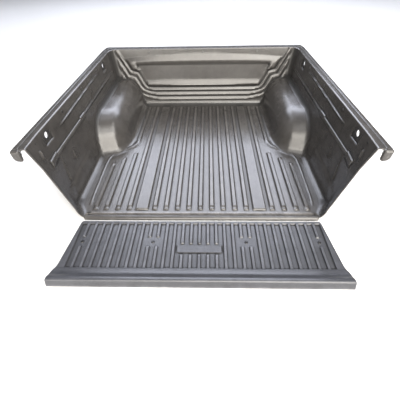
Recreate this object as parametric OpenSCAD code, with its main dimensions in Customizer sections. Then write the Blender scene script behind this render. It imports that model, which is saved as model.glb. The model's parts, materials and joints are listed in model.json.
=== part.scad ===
// Over-rail truck bed liner: a one-piece tub, a separate tailgate liner and their fitting hardware.
// X runs across the bed, +Y towards the cab and +Z up. The tub's underside lies on z = 0.

/* [Bed] */
// Floor length, from the rear edge to the foot of the front wall
floor_len = 1500; // [1460:10:1560]
// Floor width between the feet of the side walls
floor_w = 1500; // [1480:10:1520]
// Floor width at the rear edge, between the tailgate pillars
rear_w = 1400; // [1390:2:1410]
// Inside width between the side walls, at the rails
top_w = 1650; // [1630:10:1670]
// Height of the rail tops above the truck's own bed floor
rail_z = 482; // [470:1:500]
// Thickness of the formed plastic sheet
sheet = 4.5; // [4:0.5:6]
// How far the front wall leans forwards over its height
front_lean = 76; // [60:1:90]
// Radius between the floor and the side walls
side_cove = 50; // [45:1:60]
// Radius between the floor and the front wall
front_cove = 40; // [30:1:45]

/* [Rails] */
// Width of the flange over each side rail
rail_w = 62; // [56:1:66]
// Width of the flange over the front rail
front_rail_w = 74; // [66:1:80]
// Height of the skirt that hangs from the flanges
skirt_h = 45; // [35:1:50]
// How far the rail ends stand out behind the side walls
horn_out = 20; // [16:1:24]
// Height of the cap that closes each rail end
horn_h = 62; // [56:1:66]

/* [Floor ribs] */
// Spacing of the narrow ribs
rib_pitch = 69.5; // [68:0.5:71]
// Width of a narrow rib
rib_w = 30; // [26:1:34]
// Height of the ribs above the lands
rib_h = 9; // [6:0.5:10]
// Distance from the centreline to the middle of each wide band
band_x = 356; // [352:1:358]
// Width of each wide band
band_w = 80; // [72:1:84]

/* [Wheel arches] */
// Distance from the centreline to each arch, at the floor
arch_x = 572; // [560:1:584]
// Height of the arch above the bed floor, at its shoulder
arch_h = 238; // [225:1:250]
// Distance from the rear edge to the back of the arch
arch_rear = 650; // [640:1:670]

/* [Tailgate liner] */
// Distance between neighbouring tailgate ribs
gate_pitch = 45.5; // [45:0.5:46]
// Width of a tailgate rib
gate_rib_w = 18; // [14:1:20]
// Height of the tailgate liner's lands
gate_land_z = 12; // [11:0.5:13]
// Height of the tailgate ribs above the lands
gate_rib_h = 7; // [4:0.5:8]
// Thickness of the tailgate liner's sheet
gate_sheet = 4.5; // [4:0.5:5]
// Height of the ridge along the free edge
lip_z = 42; // [36:1:46]
// Half width of the lip along the free edge
lip_x = 730; // [722:1:736]

/* [Fittings] */
// Radius of each tie-down hole in the side walls
tie_r = 20; // [16:1:22]
// Radius of the screw shanks
screw_r = 2.9; // [2:0.1:3]

/* [Hidden] */
$fn = 48;

plastic = [0.13, 0.13, 0.14];
rubber = [0.05, 0.05, 0.05];
steel = [0.55, 0.55, 0.58];
black_steel = [0.08, 0.08, 0.09];
foam = [0.22, 0.22, 0.24];

// Leans of the walls, from the vertical
side_lean = atan((top_w - floor_w) / 2 / (rail_z - sheet));
front_angle = atan(front_lean / (rail_z - sheet));
// Outline of the flanges, seen from above
rail_x = top_w / 2 + rail_w;
rail_front = floor_len + front_lean + front_rail_w;
rail_corner = 45;
// Outer and inner lower corners of the rail end caps
horn_r = 26;
horn_toe = 10;
// Inner face of each rail end cap
horn_x = top_w / 2 + 18;
// Reach of the cutting bodies past the part
past = 30;

// Faces where the side walls turn in to the tailgate pillars: lean, turn, and the slope that ends them
pillar_lean = 12;
pillar_turn = 18.5;
pillar_top = [791, 402];
pillar_top_lean = 26.5;
// Rear lip: a bead along the floor's rear edge
lip_bead_r = 20;
lip_bead_y = 5;
lip_bead_z = -4;
// Arch outlines
arch_shoulder_r = 150;
arch_side_r = 230;
arch_side_y = arch_rear + 270;
arch_side_z = 15;
arch_plan_r = 170;
arch_draft = 18;
// Ribs on the floor: rear ends, and the front ends of the ribs that stop at the arches
rib_rear = 62;
rib_front = floor_len - 58;
outer_ribs = [[433, rib_front], [503.5, 665], [576, 598], [642, 534]];
// Tie-down pockets in the side walls
tie_y = [208, 1288];
tie_z = 438;
pocket_half = 48;
pocket_z = 394;
pocket_x = top_w / 2 - 2;
pocket_depth = 60;
// Raised strips on a side wall: how far each stands out, its ends, and its edges up the wall
strips = [[5, 353, 1130, 416, 430], [6, 670, 1462, 328, 341], [7, 590, 670, 310, 340],
    [6, 195, 590, 310, 332], [7, 104, 195, 302, 340]];
// Frame on the front wall: right half of its outline, half of its sunken panel, and their depths
frame_half = [[524, 176], [590, 300], [650, 316], [706, 410]];
panel_half = [[530, 222], [604, 358]];
frame_depth = 16;
panel_depth = 4;
// Beads under the frame
bead_up = [50, 92, 134];
bead_h = 14;
bead_depth = 6;
bead_half = arch_x - 12;
// Rail screws: along the sides and across the front, and their height up the wall
rail_screw_y = [for (i = [0:3]) 90 + i * 347];
front_screw_x = [-480, 0, 480];
rail_screw_up = (rail_z - 27 - sheet) / cos(side_lean);
front_screw_up = (rail_z - 27 - sheet) / cos(front_angle);
screw_hole_r = 3.5;
washer_t = 1.5;
// Play between a spring nut and the sheet
nut_gap = 0.1;
// Foam tape under the flanges
foam_t = 6;

// Tailgate liner: it swings about a line along X at hinge_y, 3 above the bed floor
hinge_y = -37;
gate_edge = hinge_y + 3;
// Edges of the ribbed field and places of the screws
field_rear = -342;
field_front = -50;
field_x = 15 * gate_pitch - gate_rib_w / 2;
gate_rib_z = gate_land_z + gate_rib_h;
gate_hinge_x = 684;
gate_step_x = 714;
lip_rear = -436;
lip_crest = -417;
lip_step = -348;
lip_rise = 3;
lip_hollow_r = 62;
lip_crest_r = 7;
gate_screw_x = [14 * gate_pitch, 5.5 * gate_pitch];
gate_screw_y = -178;
pad_len = 52;
bar_half = 118;
bar_y = [-250, -200];

// The origin is under the middle of the outline, rails and lowered tailgate liner included
mid_y = (rail_front + lip_rear) / 2;

function arc(c, r, a0, a1, n) =
    [for (i = [0:n]) c + r * [cos(a0 + (a1 - a0) * i / n), sin(a0 + (a1 - a0) * i / n)]];

// Wall line: floor, cove and leaning wall, set off outwards from the inner face
function wall_line(foot, cove, lean, off, top) =
    let (c = [foot - cove * tan((90 - lean) / 2), sheet + cove],
         pts = arc(c, cove + off, -90, -lean, 6),
         last = pts[len(pts) - 1])
    concat(pts, [last + (top - last[1]) * [tan(lean), 1]]);

function mirrored(pts) = [for (i = [len(pts) - 1:-1:0]) [-pts[i][0], pts[i][1]]];

module placed() translate([0, -mid_y, 0]) children();

// Section in X and Z, drawn along Y from y0 to y1
module along_y(y0, y1) translate([0, y1, 0]) rotate([90, 0, 0]) linear_extrude(y1 - y0) children();

// Section in Y and Z, drawn along X from x0 to x1
module along_x(x0, x1) translate([x0, 0, 0]) rotate([90, 0, 90]) linear_extrude(x1 - x0) children();

module box(x, y, z) translate([x[0], y[0], z[0]]) cube([x[1] - x[0], y[1] - y[0], z[1] - z[0]]);

module both_sides() {
    children();
    mirror([1, 0, 0]) children();
}

// Frame on a side wall's inner face: local +Z up the wall, -X into the bay
module on_side() translate([floor_w / 2, 0, sheet]) rotate([0, side_lean, 0]) children();

// Frame on the front wall's inner face: local +Z up the wall, -Y into the bay
module on_front() translate([0, floor_len, sheet]) rotate([-front_angle, 0, 0]) children();

// Tailgate pillar on the right, set in from the liner's visible face
module pillar(inset) {
    intersection() {
        translate([rear_w / 2, 0, 0]) rotate([0, pillar_lean, -pillar_turn])
            box([inset, 300], [-200, 400], [-100, rail_z + 100]);
        translate([pillar_top[0], 0, pillar_top[1]]) rotate([0, pillar_top_lean, 0])
            box([inset, 300], [-200, 400], [-rail_z - 200, 200]);
    }
}

// Cargo space between the walls, set off outwards
module bay(off, top, rear) {
    side = wall_line(floor_w / 2, side_cove, side_lean, off, top);
    front = wall_line(floor_len, front_cove, front_angle, off, top);
    difference() {
        intersection() {
            along_y(rear, rail_front) polygon(concat(side, mirrored(side)));
            along_x(-rail_x, rail_x) polygon(concat([[rear, top], [rear, sheet - off]], front));
        }
        both_sides() pillar(off);
    }
}

// Wheel arch on the right, set in from its visible face
module arch_core(inset) {
    intersection() {
        along_y(arch_rear, rail_front + past) polygon(concat([[arch_x + inset, -1]],
            arc([arch_x + arch_draft + arch_shoulder_r, arch_h - arch_shoulder_r],
                arch_shoulder_r - inset, 180, 90, 6),
            [[rail_x, arch_h + 12 - inset], [rail_x, -1]]));
        along_x(arch_x, rail_x) polygon(concat([[arch_rear + inset, -1]],
            arc([arch_side_y, arch_side_z], arch_side_r - inset, 165, 90, 8),
            [[rail_front + past, arch_h + 50 - inset], [rail_front + past, -1]]));
        translate([0, 0, -1]) linear_extrude(arch_h + 60) polygon(concat(
            arc([arch_x + arch_plan_r, arch_rear + arch_plan_r], arch_plan_r - inset, 180, 270, 6),
            [[rail_x, arch_rear + inset], [rail_x, rail_front + past],
             [arch_x + inset, rail_front + past]]));
    }
}

// Outline of the flanges, set in from the skirt's outer face
module rail_outline(inset) {
    r = rail_corner - inset;
    c = [rail_x - rail_corner, rail_front - rail_corner];
    front_right = arc(c, r, 0, 90, 6);
    polygon(concat([[rail_x - inset, -horn_out + inset]], front_right, mirrored(front_right),
        [[-rail_x + inset, -horn_out + inset]]));
}

module rail_flange() {
    difference() {
        translate([0, 0, rail_z - skirt_h]) linear_extrude(skirt_h) rail_outline(0);
        translate([0, 0, rail_z - skirt_h - 1]) linear_extrude(skirt_h + 1 - sheet) rail_outline(sheet);
    }
    both_sides() rail_end();
}

// Cap that closes the end of a side rail, with its cheek back to the side wall
module rail_end() {
    low = rail_z - horn_h;
    along_y(-horn_out, -horn_out + sheet) {
        translate([horn_x, low + horn_r]) square([rail_x - horn_x, horn_h - horn_r]);
        translate([horn_x + horn_toe, low]) square([rail_x - horn_x - horn_toe - horn_r, horn_r]);
        translate([rail_x - horn_r, low + horn_r]) circle(horn_r);
        translate([horn_x + horn_toe, low + horn_toe]) circle(horn_toe);
        translate([horn_x, low + horn_toe]) square([horn_toe, horn_r]);
    }
    box([horn_x, horn_x + sheet], [-horn_out, 1], [rail_z - skirt_h, rail_z]);
}

module floor_rib(x, front, w) {
    translate([x - w / 2, rib_rear, sheet - 1]) cube([w, front - w / 2 - rib_rear, rib_h + 1]);
    translate([x, front - w / 2, sheet - 1]) cylinder(r = w / 2, h = rib_h + 1);
}

// The moulding is one thickness, so each rib is open underneath
module floor_rib_hollow(x, front, w) {
    box([x - w / 2 + sheet, x + w / 2 - sheet], [rib_rear + sheet, front - w / 2], [-1, rib_h]);
}

module every_floor_rib(hollow) {
    module one(x, front, w) if (hollow) floor_rib_hollow(x, front, w); else floor_rib(x, front, w);
    for (i = [-4:4]) one(i * rib_pitch, rib_front, rib_w);
    for (s = [-1, 1]) {
        one(s * band_x, rib_front, band_w);
        for (rib = outer_ribs) one(s * rib[0], rib[1], rib_w);
    }
}

// Bead along the floor's rear edge, rolled down to the bed floor
module rear_lip() {
    half = rear_w / 2 - 10;
    difference() {
        along_x(-half, half) translate([lip_bead_y, lip_bead_z]) circle(lip_bead_r);
        along_x(-half - 1, half + 1) translate([lip_bead_y, lip_bead_z]) circle(lip_bead_r - sheet);
        box([-rail_x, rail_x], [-100, 100], [-100, 0]);
    }
}

// Raised strips that stiffen a side wall
module side_strips() {
    on_side() for (s = strips) box([-s[0], 1], [s[1], s[2]], [s[3], s[4]]);
}

// Trapezoid frame that stiffens the front wall, with its sunken panel, and the three lower beads
module front_frame() {
    on_front() {
        difference() {
            along_y(-frame_depth, 1) polygon(concat(frame_half, mirrored(frame_half)));
            along_y(-frame_depth - 1, -panel_depth)
                polygon(concat(panel_half, mirrored(panel_half)));
        }
        for (z = bead_up) box([-bead_half, bead_half], [-bead_depth, 1], [z, z + bead_h]);
    }
}

// Pocket with an upright face round a tie-down hole
module tie_pocket(y, off) {
    box([top_w / 2 - pocket_depth, pocket_x + off], [y - pocket_half - off, y + pocket_half + off],
        [pocket_z - off, rail_z - sheet + off]);
}

module tub_shell() {
    difference() {
        union() {
            difference() {
                union() {
                    bay(sheet, rail_z, 0);
                    rail_flange();
                    both_sides() for (y = tie_y) tie_pocket(y, sheet);
                }
                bay(0, rail_z + 1, -horn_out - past);
                box([-horn_x, horn_x], [-horn_out - 1, 0], [rail_z - skirt_h - 1, rail_z + 1]);
                both_sides() for (y = tie_y) tie_pocket(y, 0);
            }
            intersection() {
                both_sides() arch_core(0);
                bay(sheet, rail_z, 0);
            }
            every_floor_rib(false);
            both_sides() side_strips();
            front_frame();
        }
        both_sides() arch_core(sheet);
        every_floor_rib(true);
        box([-rail_x, rail_x], [-1, lip_bead_y], [-1, sheet + 1]);
    }
    rear_lip();
}

module tub_liner() {
    color(plastic) placed() difference() {
        tub_shell();
        both_sides() for (y = tie_y)
            translate([pocket_x - 10, y, tie_z]) rotate([0, 90, 0]) cylinder(r = tie_r, h = 30);
        both_sides() on_side() for (y = rail_screw_y)
            translate([-10, y, rail_screw_up]) rotate([0, 90, 0]) cylinder(r = screw_hole_r, h = 20);
        on_front() for (x = front_screw_x)
            translate([x, 10, front_screw_up]) rotate([90, 0, 0]) cylinder(r = screw_hole_r, h = 20);
    }
}

// Flanged rubber ring in a tie-down hole on the right
module grommet(y) {
    flange = 2;
    color(rubber) placed() translate([pocket_x - flange, y, tie_z]) rotate([0, 90, 0]) difference() {
        union() {
            cylinder(r = tie_r + 7, h = flange);
            cylinder(r = tie_r, h = sheet + 2 * flange);
            translate([0, 0, sheet + flange]) cylinder(r = tie_r + 4, h = flange);
        }
        translate([0, 0, -1]) cylinder(r = tie_r - 2.5, h = sheet + 2 * flange + 2);
    }
}

// Pan-head screw: its head stands on the local z = 0 plane and its shank runs down
module pan_screw(length) {
    cylinder(r = 5.5, h = 2);
    translate([0, 0, 2]) cylinder(r = 4.8, h = 1.4);
    translate([0, 0, -length]) cylinder(r = screw_r, h = length);
}

module washer(r, thickness, hole) {
    difference() {
        cylinder(r = r, h = thickness);
        translate([0, 0, -1]) cylinder(r = hole, h = thickness + 2);
    }
}

// Square spring nut under the local z = 0 plane
module spring_nut(size, hole) {
    difference() {
        translate([-size / 2, -size / 2, -3]) cube([size, size, 3]);
        translate([-size / 2 - 1, -size / 2 + 3, -4]) cube([size + 2, size - 6, 2.5]);
        translate([0, 0, -4]) cylinder(r = hole, h = 5);
    }
}

// Local frames at each rail screw: +Z into the bay, z = 0 on the sheet's inner face
module at_side_screws() {
    placed() on_side() for (y = rail_screw_y)
        translate([0, y, rail_screw_up]) rotate([0, -90, 0]) children();
}

module at_front_screws() {
    placed() on_front() for (x = front_screw_x)
        translate([x, 0, front_screw_up]) rotate([90, 0, 0]) children();
}

module rail_screw() color(black_steel) translate([0, 0, washer_t]) pan_screw(18);
module rail_washer() color(black_steel) washer(9, washer_t, screw_r + 0.2);
module rail_nut() color(steel) translate([0, 0, -sheet - nut_gap]) spring_nut(18, screw_r + 0.1);

// Foam tape between the flange and the truck's rail
module side_rail_foam() {
    color(foam) placed()
        box([top_w / 2 + 12, rail_x - sheet - 6], [20, floor_len + 20],
            [rail_z - sheet - foam_t, rail_z - sheet]);
}

module rail_foam_front() {
    color(foam) placed()
        box([-top_w / 2 + 40, top_w / 2 - 40], [floor_len + front_lean + 12, rail_front - sheet - 6],
            [rail_z - sheet - foam_t, rail_z - sheet]);
}

module floor_foam_strips() {
    color(foam) placed() for (s = [-1, 1])
        box([s * band_x - band_w / 2 + 10, s * band_x + band_w / 2 - 10],
            [rib_rear + 40, rib_front - band_w], [1, rib_h]);
}

// Half outline of the tailgate liner's tray, set in from its outer face
function gate_half(inset) = [[gate_hinge_x - inset, gate_edge - inset],
    [gate_step_x - inset, lip_step + 20 - inset], [lip_x - inset, lip_step - 20]];

// Section of the lip along the free edge: step, hollow, crest and skirt
function lip_line(inset) =
    let (step_z = gate_rib_z + lip_rise - inset)
    concat([[lip_step + 8, -1], [lip_step + 8, gate_rib_z - inset], [lip_step, step_z]],
        arc([lip_step - 8, step_z + lip_hollow_r], lip_hollow_r, -90, -133, 5),
        arc([lip_crest - 2, lip_z - lip_crest_r], lip_crest_r - inset, 100, 170, 4),
        [[lip_rear + inset, 0], [lip_rear + inset, -1]]);

module gate_tray(inset) {
    right = gate_half(inset);
    translate([0, 0, -inset]) linear_extrude(gate_rib_z) polygon(concat(
        [for (p = right) p], [for (i = [2:-1:0]) [-right[i][0], right[i][1]]]));
    along_x(-lip_x + inset, lip_x - inset) polygon(lip_line(inset));
}

// Stretches of rib k: whole, or broken by a screw pad or by the plain bar
function gate_stretches(k) =
    abs(k) <= 2 ? [[field_rear, bar_y[0] - 5], [bar_y[1] + 5, field_front]] :
    abs(k) == 14 || abs(k) == 5 || abs(k) == 6 ?
        [[field_rear, gate_screw_y - pad_len / 2], [gate_screw_y + pad_len / 2, field_front]] :
    [[field_rear, field_front]];

module gate_ribs(w, z0, z1, short) {
    for (k = [-14:14], s = gate_stretches(k))
        box([k * gate_pitch - w / 2, k * gate_pitch + w / 2], [s[0] - 1 + short, s[1] + 1 - short],
            [z0, z1]);
}

module at_gate_screws() {
    placed() for (sx = [-1, 1], x = gate_screw_x)
        translate([sx * x, gate_screw_y, gate_land_z]) children();
}

module tailgate_liner() {
    under = gate_land_z - gate_sheet;
    color(plastic) difference() {
        placed() difference() {
            union() {
                difference() {
                    gate_tray(0);
                    gate_tray(gate_sheet);
                    box([-field_x, field_x], [field_rear, field_front], [-1, gate_rib_z + 1]);
                    box([-lip_x - 1, lip_x + 1], [lip_rear - 1, 0], [-2, 0]);
                }
                box([-field_x - 2, field_x + 2], [field_rear - 2, field_front + 2],
                    [under, gate_land_z]);
                gate_ribs(gate_rib_w, gate_land_z - 1, gate_rib_z, 0);
                box([-bar_half, bar_half], bar_y, [gate_land_z - 1, gate_rib_z]);
            }
            gate_ribs(gate_rib_w - 2 * gate_sheet, under - 1, gate_rib_z - gate_sheet, gate_sheet + 1);
        }
        at_gate_screws() translate([0, 0, -gate_sheet - 1])
            cylinder(r = screw_hole_r, h = gate_sheet + 2);
    }
}

// Cup washer on a screw pad, with a cone-shaped seat
module cup_washer() {
    difference() {
        cylinder(r1 = 10, r2 = 8, h = 3);
        translate([0, 0, 1]) cylinder(r1 = 3.4, r2 = 5.6, h = 2.01);
        translate([0, 0, -1]) cylinder(r = 3.4, h = 5);
    }
}

// Countersunk screw whose cone sits in the cup washer
module gate_screw() {
    translate([0, 0, 1.1]) cylinder(r1 = screw_r, r2 = 5.4, h = 2);
    translate([0, 0, 3.1]) cylinder(r = 5.4, h = 0.8);
    translate([0, 0, 1.5 - gate_land_z]) cylinder(r = screw_r, h = gate_land_z);
}

module tailgate_foam_strips() {
    color(foam) placed() for (s = [-1, 1])
        box([s * 430 - 170, s * 430 + 170], [-120, -95], [0.5, gate_land_z - gate_sheet]);
}

tub_liner();
tailgate_liner();
mirror([1, 0, 0]) grommet(tie_y[0]);  // tie_down_grommet_rear_left
grommet(tie_y[0]);  // tie_down_grommet_rear_right
mirror([1, 0, 0]) grommet(tie_y[1]);  // tie_down_grommet_front_left
grommet(tie_y[1]);  // tie_down_grommet_front_right
mirror([1, 0, 0]) at_side_screws() rail_screw();  // rail_screws_left
at_side_screws() rail_screw();  // rail_screws_right
at_front_screws() rail_screw();  // rail_screws_front
mirror([1, 0, 0]) at_side_screws() rail_washer();  // rail_washers_left
at_side_screws() rail_washer();  // rail_washers_right
at_front_screws() rail_washer();  // rail_washers_front
mirror([1, 0, 0]) at_side_screws() rail_nut();  // rail_spring_nuts_left
at_side_screws() rail_nut();  // rail_spring_nuts_right
at_front_screws() rail_nut();  // rail_spring_nuts_front
mirror([1, 0, 0]) side_rail_foam();  // rail_foam_left
side_rail_foam();  // rail_foam_right
rail_foam_front();
floor_foam_strips();
color(black_steel) at_gate_screws() gate_screw();  // tailgate_screws
color(black_steel) at_gate_screws() cup_washer();  // tailgate_cup_washers
color(steel) at_gate_screws() translate([0, 0, -gate_sheet - nut_gap]) spring_nut(20, screw_r + 0.1);  // tailgate_spring_nuts
tailgate_foam_strips();
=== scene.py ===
"""Looks of the truck bed liner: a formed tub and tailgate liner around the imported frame.

Shapes are worked out in bed millimetres: X across, Y = 0 at the floor's rear edge and forwards,
Z = 0 on the truck's bed floor. to_frame() turns them into the row frame, in metres.
"""
import bpy
import math
import numpy as np
from mathutils import Matrix, Vector
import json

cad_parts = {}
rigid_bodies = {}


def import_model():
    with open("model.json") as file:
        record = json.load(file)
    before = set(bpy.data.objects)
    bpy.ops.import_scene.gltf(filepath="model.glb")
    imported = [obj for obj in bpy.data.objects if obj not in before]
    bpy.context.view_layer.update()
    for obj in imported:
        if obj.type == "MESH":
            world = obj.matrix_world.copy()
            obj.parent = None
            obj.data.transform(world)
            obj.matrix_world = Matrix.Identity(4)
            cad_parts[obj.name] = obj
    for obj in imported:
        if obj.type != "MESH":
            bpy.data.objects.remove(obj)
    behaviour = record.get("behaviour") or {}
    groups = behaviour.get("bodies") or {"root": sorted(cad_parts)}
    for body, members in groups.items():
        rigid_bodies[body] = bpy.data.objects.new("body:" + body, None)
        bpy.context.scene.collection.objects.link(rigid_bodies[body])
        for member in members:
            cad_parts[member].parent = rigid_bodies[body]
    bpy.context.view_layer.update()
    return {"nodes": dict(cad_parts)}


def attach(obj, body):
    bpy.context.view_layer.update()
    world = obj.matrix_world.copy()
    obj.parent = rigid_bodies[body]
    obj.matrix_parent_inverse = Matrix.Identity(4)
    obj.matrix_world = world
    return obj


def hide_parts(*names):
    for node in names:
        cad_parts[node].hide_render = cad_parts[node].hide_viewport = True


for leftover in list(bpy.data.objects):
    bpy.data.objects.remove(leftover)
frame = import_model()

# The sheet, and places of the walls' inner faces at the floor and at the height of the rails
SHEET = 4.5
FOOT_X, TOP_X = 769.0, 825.0
FLOOR_Y, TOP_Y = 1500.0, 1576.0
# Flange over the rails: height, outer faces, corner radius, and lower edge of its skirt
RAIL_Z, RAIL_X, RAIL_Y, RAIL_R = 482.0, 887.0, 1650.0, 45.0
SKIRT_Z = 437.0
# Height where the walls go over into the flange
WALL_TOP = 474.0
# Bed Y of the row frame's origin
MID_Y = 607.0
SIDE_SLOPE = (TOP_X - FOOT_X) / (RAIL_Z - SHEET)
FRONT_SLOPE = (TOP_Y - FLOOR_Y) / (RAIL_Z - SHEET)
# Radii between side wall and pillar, side and front wall, round the arches and round the floor
PILLAR_R, CORNER_R, ARCH_R, COVE_R = 22.0, 60.0, 20.0, 40.0
# Floor ribs: X of the long ones in the middle, then (x, front end) of those beyond the bands
RIB_X = [0.0, 69.5, 139.0, 208.5, 278.0]
OUTER_RIBS = [(433.0, 1442.0), (503.5, 665.0), (576.0, 598.0), (642.0, 534.0)]
RIB_REAR, RIB_FRONT, RIB_HALF, RIB_H, RIB_BEVEL = 62.0, 1442.0, 15.0, 9.0, 6.0
BAND_X, BAND_HALF = 356.0, 40.0
# The ribs start lower and step up between these distances from their rear ends
RIB_STEP = (25, 33)
# Rib along an arch's foot that turns outwards behind it, and bead along a side wall's foot, as points
# (x, y, half width) of their middle lines
ARCH_RIB_X = 514.0
ARCH_RIB = [(ARCH_RIB_X, RIB_FRONT - 15, 15), (ARCH_RIB_X, 835, 15), (518, 800, 15), (530, 768, 15),
            (552, 738, 14), (584, 712, 11)]
SIDE_BEAD = [(640, 668, 6), (662, 652, 7), (684, 622, 7), (694, 580, 7), (696, 480, 7), (690, 240, 7),
             (685, 132, 7)]
SIDE_BEAD_H, SIDE_BEAD_BEVEL = 5.5, 5.0
# Tie-down holes and the pockets round them
TIE_Y, TIE_Z, TIE_R = (208.0, 1288.0), 438.0, 20.0
# Half side of the square that is cut out of the grid for a hole
HOLE_CELL = 30
POCKET_X, POCKET_HALF, POCKET_Z = 823.0, 48.0, 394.0
# Beyond these places the grid's lines lean into the front corners (over LEAN_RUN on the front wall),
# and beyond the next two they spread round the flange's corners
LEAN_Y, LEAN_X, LEAN_RUN = 1350.0, 520.0, 230.0
ROUND_Y, ROUND_X = 1430.0, 680.0


def to_frame(points):
    """Bed millimetres to metres of the row frame."""
    q = np.array(points, float) * 0.001
    q[:, 1] -= MID_Y * 0.001
    return q


def smooth(lo, hi, v):
    """0 at lo to 1 at hi, level at both ends."""
    t = np.clip((v - lo) / (hi - lo), 0, 1)
    return t * t * (3 - 2 * t)


def hollow(a, b, r):
    """Distance into the space that lies inside both a and b, with a hollow of radius r between them."""
    return np.maximum(r, np.minimum(a, b)) - np.hypot(np.maximum(r - a, 0), np.maximum(r - b, 0))


def crown(a, b, r):
    """Distance into the space that lies inside a or b, with a rounded edge of radius r."""
    return -hollow(-a, -b, r)


# -------- the tub's visible face

# Planes of a pillar: place and lean of the tall face, and of the flatter shoulder above it
PILLAR_X, PILLAR_LEAN = 700.0, 0.2241
SHOULDER_X, SHOULDER_Z, SHOULDER_LEAN = 791.0, 402.0, 0.4986
# Places of a wheel-arch cover's inner, rear and top planes, and the radii of their edges
ARCH_X, ARCH_REAR, ARCH_TOP, ARCH_EDGES = 569.0, 632.0, 238.0, (78.0, 160.0, 140.0)


def side_gap(x, z):
    return (FOOT_X + SIDE_SLOPE * (z - SHEET) - np.abs(x)) / math.hypot(1, SIDE_SLOPE)


def front_gap(y, z):
    return (FLOOR_Y + FRONT_SLOPE * (z - SHEET) - y) / math.hypot(1, FRONT_SLOPE)


def pillar_gap(x, y, z):
    """Distance to the faces where a side wall turns in to the tailgate pillar."""
    turn = np.maximum(0.25, 0.57 - 0.00115 * z)
    face = (PILLAR_X + PILLAR_LEAN * z + turn * y - np.abs(x)) / np.sqrt(1.05 + turn ** 2)
    shoulder = (SHOULDER_X + SHOULDER_LEAN * (z - SHOULDER_Z) - np.abs(x)) / 1.117
    return crown(face, shoulder, 14)


def side_wall_gap(x, y, z):
    """Distance to a side wall together with its pillar."""
    return hollow(side_gap(x, z), pillar_gap(x, y, z), PILLAR_R)


def arch_gap(x, y, z):
    """Distance to a wheel-arch cover: three leaning planes, rounded into one another."""
    ax = np.abs(x)
    # The last factor of each makes it a distance
    inner = (ARCH_X + 0.2045 * z - ax) * 0.98
    rear = (ARCH_REAR + 0.5 * z + 0.36 * (755 - ax) - y) * 0.855
    top = z - ARCH_TOP - 0.0816 * (ax - 742)
    parts = [np.maximum(p + r, 0) / r for p, r in zip((inner, rear, top), ARCH_EDGES)]
    total = sum(q * q for q in parts) + 1e-9
    reach = sum(q * q * r for q, r in zip(parts, ARCH_EDGES)) / total
    return (np.sqrt(total) - 1) * reach


def bay_gap(p):
    """Distance from the tub's smooth inner face, positive in the cargo space."""
    x, y, z = p[:, 0], p[:, 1], p[:, 2]
    walls = hollow(side_wall_gap(x, y, z), front_gap(y, z), CORNER_R)
    walls = hollow(walls, arch_gap(x, y, z), ARCH_R)
    return hollow(walls, z - SHEET, COVE_R)


def trace(start, end):
    """First points on the tub's inner face, on the lines from start through end and a little on."""
    step = end - start
    beyond = 1.3
    steps = np.linspace(0, beyond, 66)
    low = np.zeros(len(start))
    high = np.full(len(start), beyond)
    found = np.zeros(len(start), bool)
    for t0, t1 in zip(steps[:-1], steps[1:]):
        hit = ~found & (bay_gap(start + step * t1) < 0)
        low[hit], high[hit] = t0, t1
        found |= hit
    for _ in range(26):
        mid = (low + high) / 2
        inside = bay_gap(start + step * mid[:, None]) > 0
        low = np.where(inside, mid, low)
        high = np.where(inside, high, mid)
    return start + step * ((low + high) / 2)[:, None]


def slope_of(p):
    """Directions square to the tub's inner face, into the cargo space."""
    out = np.zeros_like(p)
    for k in range(3):
        d = np.zeros(3)
        d[k] = 0.5
        out[:, k] = bay_gap(p + d) - bay_gap(p - d)
    return out / np.linalg.norm(out, axis=1, keepdims=True)


# -------- raised and sunken details

# Lines on a side wall: points (y, z, half width) of the middle line, height and bevel
WALL_LINES = [
    # Ridge high on the wall, and the ridge above the arch
    ([(1150, 437, 2.5), (1038, 434, 4), (800, 427, 6), (460, 415.5, 8.5), (395, 413.5, 7),
      (353, 412, 1.5)], 7, 6),
    ([(1462, 340, 5), (1120, 336, 6.5), (668, 330, 7)], 6, 5.5),
    # Slanting line between the two
    ([(895, 400, 5), (871, 326, 6.5)], 8, 6),
    # Faint marks behind the arch
    ([(222, 298, 4.5), (189, 156, 6)], 5.5, 5),
    ([(189, 152, 9), (189, 150, 9)], 8, 6),
    ([(352, 242, 5), (340, 214, 8), (351, 188, 6)], 8, 6),
    # Small flat pad near the top of the pillar
    ([(78, 416, 7), (70, 384, 13)], 9, 7)]
# Bars that carry the lower ridge on to the rear: y from and to, z from and to, height
RIDGE_BARS = ((588, 672, 310, 341, 7.5), (190, 592, 311, 333, 6.5), (100, 195, 302, 340, 8))
RIDGE_BEVEL = 4.6
# The wall's rear edge is rolled to twice this width
REAR_ROLL = 6
# Outline of the front wall's frame from below (|x|, z), and the frame's height
FRAME_EDGE = ((524, 176), (590, 300), (650, 316), (706, 412))
FRAME_H = 19
# Sunken plain panel: upper and lower corner (|x|, z), and depth
PANEL_UPPER, PANEL_LOWER, PANEL_DEPTH = (604, 358), (530, 222), 14
# Beads below the frame: distances of their upper and lower edges from it
FRAME_BEADS = ((4, 39), (39, 83), (83, 125))


def swell(inside, bevel):
    """0 at an edge to 1 at bevel inside it: steep at the foot and rounded at the top."""
    t = np.clip(inside / bevel, 0, 1)
    return 1 - (1 - t) ** 1.35


def within(v, lo, hi):
    """Distance inside the stretch from lo to hi, negative outside it."""
    return np.minimum(v - lo, hi - v)


def path_gap(u, v, points):
    """Distance to a line through points (u, v, half width), less the half width there."""
    best = np.full(u.shape, 1e9)
    for (u0, v0, w0), (u1, v1, w1) in zip(points[:-1], points[1:]):
        du, dv = u1 - u0, v1 - v0
        t = np.clip(((u - u0) * du + (v - v0) * dv) / (du * du + dv * dv), 0, 1)
        best = np.minimum(best, np.hypot(u - u0 - t * du, v - v0 - t * dv) - w0 - t * (w1 - w0))
    return best


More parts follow.
